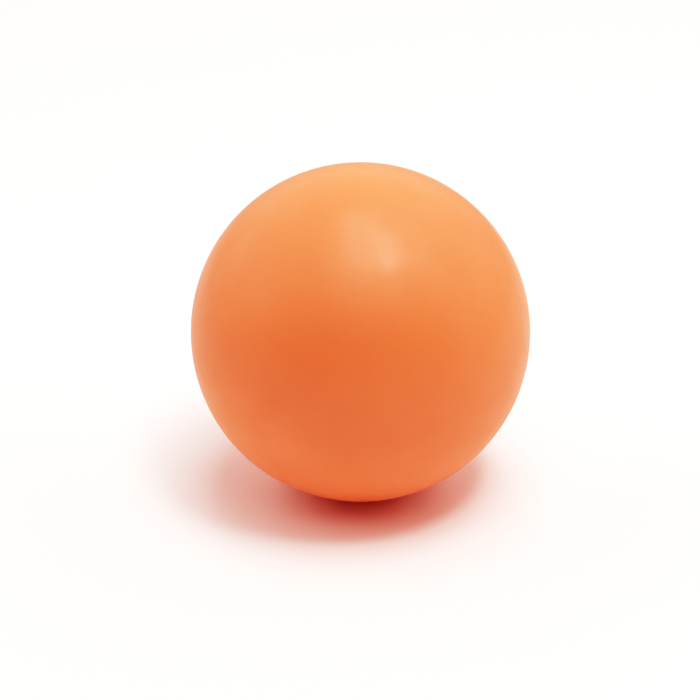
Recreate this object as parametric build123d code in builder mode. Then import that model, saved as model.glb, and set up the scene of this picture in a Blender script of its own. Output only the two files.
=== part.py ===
"""A smooth golf ball, with no dimples: a solid rubber core inside three closed shells.

From the middle outwards the pieces are the core, the mantle, the cover and the finish coat.
They are concentric, and each shell's cavity is exactly the ball that it is moulded or sprayed
on, so every piece touches the next all over and none of them can move.

The origin is the ball's centre and +Z is up, so the ball rests at z = -BALL_RADIUS.
All dimensions are in millimetres.
"""

from build123d import *
import os

# Driving dimensions
BALL_DIAMETER = 42.67  # 1.680 in, the least that the rules of golf allow
FINISH_THICKNESS = 0.05  # matt polyurethane coat, sprayed over the cover
COVER_THICKNESS = 1.50  # pigmented ionomer, compression moulded from two half cups
MANTLE_THICKNESS = 1.30  # stiffer ionomer, injection moulded round the core

# Radii that follow from them, from the outside in
BALL_RADIUS = BALL_DIAMETER / 2
COVER_RADIUS = BALL_RADIUS - FINISH_THICKNESS
MANTLE_RADIUS = COVER_RADIUS - COVER_THICKNESS
CORE_RADIUS = MANTLE_RADIUS - MANTLE_THICKNESS

# Core: a solid ball of cross-linked polybutadiene rubber, ground true after moulding.
with BuildPart() as core:
    Sphere(CORE_RADIUS)
core.part.label = "core"

# Mantle: the stiff layer that is moulded straight on to the core.
with BuildPart() as mantle:
    Sphere(MANTLE_RADIUS)
    Sphere(CORE_RADIUS, mode=Mode.SUBTRACT)
mantle.part.label = "mantle"

# Cover: the coloured layer. Its two half cups fuse in the mould, so it is one piece.
with BuildPart() as cover:
    Sphere(COVER_RADIUS)
    Sphere(MANTLE_RADIUS, mode=Mode.SUBTRACT)
cover.part.label = "cover"

# Finish coat: the thin matt skin that is the ball's outside.
with BuildPart() as finish_coat:
    Sphere(BALL_RADIUS)
    Sphere(COVER_RADIUS, mode=Mode.SUBTRACT)
finish_coat.part.label = "finish_coat"

os.makedirs("parts", exist_ok=True)
for piece in (core, mantle, cover, finish_coat):
    export_step(piece.part, f"parts/{piece.part.label}.step")
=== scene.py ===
"""A smooth orange golf ball on a white studio floor.

The ball's skin is built here as a dense mesh and stands for the CAD finish coat. The core, the
mantle and the cover keep their CAD shapes, which the skin hides, and get materials of their own.
All lengths are in metres, and the angles of the lights and the camera are in degrees.
"""

import math

import bmesh
import bpy
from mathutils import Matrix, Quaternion, Vector, noise


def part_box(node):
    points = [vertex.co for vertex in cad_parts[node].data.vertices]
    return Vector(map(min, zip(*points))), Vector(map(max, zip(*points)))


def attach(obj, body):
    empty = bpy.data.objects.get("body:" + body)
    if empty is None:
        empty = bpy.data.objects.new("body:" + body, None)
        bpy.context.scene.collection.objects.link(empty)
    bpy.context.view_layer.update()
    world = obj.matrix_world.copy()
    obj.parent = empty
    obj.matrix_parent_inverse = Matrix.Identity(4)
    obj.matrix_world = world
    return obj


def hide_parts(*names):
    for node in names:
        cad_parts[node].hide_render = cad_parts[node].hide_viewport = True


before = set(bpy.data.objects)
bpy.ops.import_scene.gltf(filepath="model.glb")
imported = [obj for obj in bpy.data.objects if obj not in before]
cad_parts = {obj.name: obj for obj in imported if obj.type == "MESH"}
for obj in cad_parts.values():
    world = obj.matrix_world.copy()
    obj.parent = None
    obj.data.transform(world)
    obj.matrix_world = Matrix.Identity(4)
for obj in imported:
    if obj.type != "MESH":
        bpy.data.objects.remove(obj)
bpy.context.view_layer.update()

# The ball, as the CAD frame gives it
SKIN_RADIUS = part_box("finish_coat")[1].z
COVER_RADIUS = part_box("cover")[1].z

# The skin's mesh
SKIN_CUTS = 95  # cuts along each edge of the cube that becomes the outer wall
LINING_CUTS = 47  # the same for the inner wall, which is never seen
PEEL_DEPTH = 0.000004  # how deep the sprayed coat's orange peel goes
PEEL_WAVES = 420  # its waves per metre

# The skin's finish
SKIN_ORANGE = (0.79, 0.24, 0.088)
SKIN_ROUGHNESS = 0.62
SKIN_IOR = 1.72
COAT_WEIGHT = 0.12
COAT_ROUGHNESS = 0.21
SHEEN_WEIGHT = 0.12
SHEEN_ROUGHNESS = 0.40

# The layers under the skin
COVER_ORANGE = (0.88, 0.27, 0.07)
MANTLE_WHITE = (0.78, 0.77, 0.72)
MANTLE_SHEEN = 0.1
CORE_TEAL = (0.16, 0.33, 0.36)
FLECK_CREAM = (0.70, 0.66, 0.52)
FLECK_RUST = (0.48, 0.15, 0.07)
FLECK_EDGE = 0.03  # how much of the noise's range a fleck's soft edge takes up

# The floor
FLOOR_RADIUS = 0.28  # as far as the light reaches; past it the camera sees the white surround
FLOOR_SIDES = 128
FLOOR_COLOUR = (0.96, 0.889, 0.866)

# The lights that make the highlight
KEY_DISTANCE = 0.60
KEY_POWER = 0.44
WINDOW_POWER = 1.00

# The light tent: each wall's azimuth and power, with the panels above it and the skirt at its foot
TENT_RADIUS = 0.90
TENT_WALLS = {"back": (0, 1.94), "left": (282, 2.64), "right": (78, 2.28)}
WALL_ELEVATION = 36
WALL_SIZE = (1.20, 0.60)
SKIRT_ELEVATION = 13
SKIRT_SIZE = (1.30, 0.36)
SKIRT_POWER = 1.00
OVERHEAD_POWER = 2.52
FRONT_POWER = 1.22

# The camera
LENS = 100.0
SENSOR = 36.0
CAMERA_AZIMUTH = 180
CAMERA_ELEVATION = 25
BALL_SHARE = 0.4855  # the ball's width as a share of the picture's
SHIFT_X = -0.0150  # the ball stands a little to the right of the middle
SHIFT_Y = -0.0259  # and a little above it

# The picture's tone curves: a contrast, the light that it turns about, and a straight line's share
MAIN_CURVE = (2.30, 0.43, 0.10)
RED_CURVE = (1.13, 0.43, 0.0)
CURVE_STEPS = 14


# ---------------------------------------------------------------------------------- materials
def new_material(name):
    """A new node material and its Principled shader."""
    material = bpy.data.materials.new(name)
    material.use_nodes = True
    return material, material.node_tree.nodes["Principled BSDF"]


def object_noise(material, scale, detail=2.0):
    """A noise texture that is fixed to the object, as a socket from 0 to 1; scale is per metre."""
    nodes, links = material.node_tree.nodes, material.node_tree.links
    where = nodes.new("ShaderNodeTexCoord")
    texture = nodes.new("ShaderNodeTexNoise")
    texture.inputs["Scale"].default_value = scale
    texture.inputs["Detail"].default_value = detail
    links.new(where.outputs["Object"], texture.inputs["Vector"])
    return texture.outputs["Fac"]


def remap(material, value, low, high, start=0.3, end=0.7):
    """value, from start to end, spread over low to high; noise lies mostly within 0.3 to 0.7."""
    node = material.node_tree.nodes.new("ShaderNodeMapRange")
    node.inputs["From Min"].default_value = start
    node.inputs["From Max"].default_value = end
    node.inputs["To Min"].default_value = low
    node.inputs["To Max"].default_value = high
    material.node_tree.links.new(value, node.inputs["Value"])
    return node.outputs["Result"]


def shaded(colour, amount):
    """colour made lighter, or darker where amount is negative."""
    return tuple(channel * (1.0 + amount) for channel in colour)


def colour_mix(material, value, second):
    """A mix node that goes to the colour second as value goes from 0 to 1; its input A is still free."""
    node = material.node_tree.nodes.new("ShaderNodeMix")
    node.data_type = "RGBA"
    node.inputs["B"].default_value = (*second, 1.0)
    material.node_tree.links.new(value, node.inputs["Factor"])
    return node


def drifting_colour(material, colour, scale, amount, detail=2.0):
    """colour as a socket, wandering a little lighter and darker from place to place."""
    drift = remap(material, object_noise(material, scale, detail), 0.0, 1.0)
    node = colour_mix(material, drift, shaded(colour, amount))
    node.inputs["A"].default_value = (*shaded(colour, -amount), 1.0)
    return node.outputs["Result"]


def flecked(material, ground, scale, share, colour):
    """The colour socket ground with small flecks of another colour where the noise is high."""
    start = 1.0 - share
    pattern = object_noise(material, scale, detail=1.0)
    flecks = remap(material, pattern, 0.0, 1.0, start, start + FLECK_EDGE)
    node = colour_mix(material, flecks, colour)
    material.node_tree.links.new(ground, node.inputs["A"])
    return node.outputs["Result"]


def uneven_roughness(material, shader, middle, spread, scale):
    """Gives the shader a roughness that wanders by spread to each side of the middle."""
    wear = object_noise(material, scale, detail=3.0)
    rough = remap(material, wear, middle - spread, middle + spread)
    material.node_tree.links.new(rough, shader.inputs["Roughness"])


def add_bump(material, shader, height, distance, strength):
    """Gives the shader a bump from a height socket."""
    node = material.node_tree.nodes.new("ShaderNodeBump")
    node.inputs["Strength"].default_value = strength
    node.inputs["Distance"].default_value = distance
    material.node_tree.links.new(height, node.inputs["Height"])
    material.node_tree.links.new(node.outputs["Normal"], shader.inputs["Normal"])


def matt_finish():
    """Matt polyurethane: orange, faintly uneven in colour and gloss, with a fine grain."""
    material, shader = new_material("matt_finish")
    colour = drifting_colour(material, SKIN_ORANGE, scale=90.0, amount=0.02)
    material.node_tree.links.new(colour, shader.inputs["Base Color"])
    uneven_roughness(material, shader, SKIN_ROUGHNESS, spread=0.05, scale=300.0)
    shader.inputs["IOR"].default_value = SKIN_IOR
    shader.inputs["Coat Weight"].default_value = COAT_WEIGHT
    shader.inputs["Coat Roughness"].default_value = COAT_ROUGHNESS
    shader.inputs["Sheen Weight"].default_value = SHEEN_WEIGHT
    shader.inputs["Sheen Roughness"].default_value = SHEEN_ROUGHNESS
    grain = object_noise(material, scale=1000.0)
    add_bump(material, shader, grain, distance=0.00004, strength=0.8)
    return material


def cover_ionomer():
    """Orange ionomer as it leaves the mould, scuffed all over so that the finish holds on it."""
    material, shader = new_material("cover_ionomer")
    colour = drifting_colour(material, COVER_ORANGE, scale=60.0, amount=0.04)
    material.node_tree.links.new(colour, shader.inputs["Base Color"])
    uneven_roughness(material, shader, 0.45, spread=0.07, scale=400.0)
    scuffs = object_noise(material, scale=2500.0, detail=4.0)
    add_bump(material, shader, scuffs, distance=0.00002, strength=0.4)
    return material


def mantle_ionomer():
    """Unpigmented ionomer: milky, a little cloudy and waxy to the touch."""
    material, shader = new_material("mantle_ionomer")
    colour = drifting_colour(material, MANTLE_WHITE, scale=110.0, amount=0.05, detail=4.0)
    material.node_tree.links.new(colour, shader.inputs["Base Color"])
    uneven_roughness(material, shader, 0.38, spread=0.05, scale=200.0)
    shader.inputs["Sheen Weight"].default_value = MANTLE_SHEEN
    ripples = object_noise(material, scale=500.0)
    add_bump(material, shader, ripples, distance=0.00002, strength=0.3)
    return material


def core_rubber():
    """Ground polybutadiene rubber with flecks of recycled rubber in it."""
    material, shader = new_material("core_rubber")
    ground = drifting_colour(material, CORE_TEAL, scale=150.0, amount=0.10, detail=4.0)
    pale = flecked(material, ground, scale=1500.0, share=0.33, colour=FLECK_CREAM)
    colour = flecked(material, pale, scale=1100.0, share=0.31, colour=FLECK_RUST)
    material.node_tree.links.new(colour, shader.inputs["Base Color"])
    uneven_roughness(material, shader, 0.82, spread=0.08, scale=700.0)
    grit = object_noise(material, scale=3000.0, detail=4.0)
    add_bump(material, shader, grit, distance=0.00005, strength=0.5)
    return material


# ------------------------------------------------------------------------------------- pieces
def ball_wall(radius, cuts, depth_at=None):
    """A sphere of even quads: a cube is cut up and its points are moved out to the radius."""
    bm = bmesh.new()
    bmesh.ops.create_cube(bm, size=2.0)
    bmesh.ops.subdivide_edges(bm, edges=bm.edges[:], cuts=cuts, use_grid_fill=True)
    for point in bm.verts:
        even = Vector(math.tan(axis * math.pi / 4) for axis in point.co)
        direction = even.normalized()
        depth = depth_at(direction) if depth_at else 0.0
        point.co = direction * (radius - depth)
    for face in bm.faces:
        face.smooth = True
    return bm


def peel_depth(direction):
    """How far the orange peel lies under the skin's full radius, in one direction."""
    wave = noise.noise(direction * SKIN_RADIUS * PEEL_WAVES)
    return PEEL_DEPTH * (0.5 - 0.5 * wave)


def build_skin():
    """The finish coat as a closed shell, with the orange peel in its outer wall."""
    mesh = bpy.data.meshes.new("skin")
    lining = ball_wall(COVER_RADIUS, LINING_CUTS)
    bmesh.ops.reverse_faces(lining, faces=lining.faces[:])
    lining.to_mesh(mesh)
    lining.free()
    walls = ball_wall(SKIN_RADIUS, SKIN_CUTS, peel_depth)
    walls.from_mesh(mesh)
    walls.to_mesh(mesh)
    walls.free()
    skin = bpy.data.objects.new("skin", mesh)
    bpy.context.scene.collection.objects.link(skin)
    mesh.materials.append(matt_finish())
    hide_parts("finish_coat")
    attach(skin, "root")


def finish_hidden_layers():
    """The layers under the skin keep their CAD shapes and get their own materials."""
    finishes = {"cover": cover_ionomer, "mantle": mantle_ionomer, "core": core_rubber}
    for name, make_material in finishes.items():
        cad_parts[name].material_slots[0].material = make_material()


# ------------------------------------------------------------------------------------- studio
def direction_of(azimuth, elevation):
    """A unit vector; azimuth 0 is behind the ball, 90 to its right and 180 at the camera."""
    a, e = math.radians(azimuth), math.radians(elevation)
    return Vector((math.sin(a) * math.cos(e), math.cos(a) * math.cos(e), math.sin(e)))


def aim_at_ball(thing, direction, distance, roll=0.0):
    """Stands a light or a camera off in one direction, facing the ball; roll turns it in its own plane."""
    upright = direction.to_track_quat("Z", "Y")
    thing.location = direction * distance
    thing.rotation_mode = "QUATERNION"
    thing.rotation_quaternion = upright @ Quaternion((0.0, 0.0, 1.0), math.radians(roll))
    bpy.context.scene.collection.objects.link(thing)


def add_softbox(name, at, distance, size, power, roll=0.0):
    """A rectangular area light that doesn't show in the picture; at is its azimuth and elevation."""
    light = bpy.data.lights.new(name, "AREA")
    light.shape = "RECTANGLE"
    light.size, light.size_y = size
    light.energy = power
    lamp = bpy.data.objects.new(name, light)
    lamp.visible_camera = False
    aim_at_ball(lamp, direction_of(*at), distance, roll)


def build_highlight():
    """A small window, with the key light at its lower corner."""
    add_softbox("key", (139, 65.5), KEY_DISTANCE, size=(0.10, 0.10), power=KEY_POWER)
    add_softbox("window", (119, 73), KEY_DISTANCE, size=(0.16, 0.23), power=WINDOW_POWER, roll=-37)


def build_tent():
    """The soft light from above and from the front, and the tent's walls and skirts."""
    add_softbox("overhead", (180, 90), TENT_RADIUS, size=(0.32, 0.64), power=OVERHEAD_POWER)
    add_softbox("front", (180, 60), TENT_RADIUS, size=(0.70, 0.50), power=FRONT_POWER)
    for side, (azimuth, power) in TENT_WALLS.items():
        skirt = side + "_skirt"
        add_softbox(side, (azimuth, WALL_ELEVATION), TENT_RADIUS, WALL_SIZE, power)
        add_softbox(skirt, (azimuth, SKIRT_ELEVATION), TENT_RADIUS, SKIRT_SIZE, SKIRT_POWER)


def build_world():
    """No light from the surround itself, which the camera sees as pure white."""
    world = bpy.data.worlds.new("surround")
    bpy.context.scene.world = world
    world.use_nodes = True
    nodes, links = world.node_tree.nodes, world.node_tree.links
    background = nodes["Background"]
    background.inputs["Color"].default_value = (1.0, 1.0, 1.0, 1.0)
    sight = nodes.new("ShaderNodeLightPath")
    links.new(sight.outputs["Is Camera Ray"], background.inputs["Strength"])


def build_floor():
    """A plain pale floor, lit until it is white."""
    bm = bmesh.new()
    bmesh.ops.create_circle(bm, cap_ends=True, segments=FLOOR_SIDES, radius=FLOOR_RADIUS)
    mesh = bpy.data.meshes.new("floor")
    bm.to_mesh(mesh)
    bm.free()
    floor = bpy.data.objects.new("floor", mesh)
    floor.location.z = -SKIN_RADIUS
    bpy.context.scene.collection.objects.link(floor)
    material, shader = new_material("floor")
    shader.inputs["Base Color"].default_value = (*FLOOR_COLOUR, 1.0)
    shader.inputs["Roughness"].default_value = 1.0
    shader.inputs["Specular IOR Level"].default_value = 0.0
    mesh.materials.append(material)


def build_camera():
    """A long lens, at the distance where the ball takes up its share of the picture."""
    camera = bpy.data.cameras.new("camera")
    camera.lens = LENS
    camera.sensor_width = SENSOR
    camera.shift_x = SHIFT_X
    camera.shift_y = SHIFT_Y
    camera.clip_start = 0.01
    half_angle = math.atan(BALL_SHARE / 2 * SENSOR / LENS)
    distance = SKIN_RADIUS / math.sin(half_angle)
    eye = bpy.data.objects.new("camera", camera)
    aim_at_ball(eye, direction_of(CAMERA_AZIMUTH, CAMERA_ELEVATION), distance)
    bpy.context.scene.camera = eye


def tone(light, contrast, pivot, straight):
    """An S-shaped tone curve from 0 to 1, mixed with a straight line that opens the deepest shadow."""
    lifted, turn = light**contrast, pivot**contrast
    bent = (1.0 + turn) * lifted / (lifted + turn)
    return bent + straight * (light - bent)


def set_picture():
    """A plain display transform with tone curves, the red one softer, so that shadows stay warm."""
    view = bpy.context.scene.view_settings
    view.view_transform = "Standard"
    view.use_curve_mapping = True
    for channel, curve in enumerate((RED_CURVE, MAIN_CURVE, MAIN_CURVE)):
        points = view.curve_mapping.curves[channel].points
        for step in range(1, CURVE_STEPS):
            light = (step / CURVE_STEPS) ** 2  # closer together in the shadows
            points.new(light, tone(light, *curve))
    view.curve_mapping.update()


build_skin()
finish_hidden_layers()
build_floor()
build_highlight()
build_tent()
build_world()
build_camera()
set_picture()
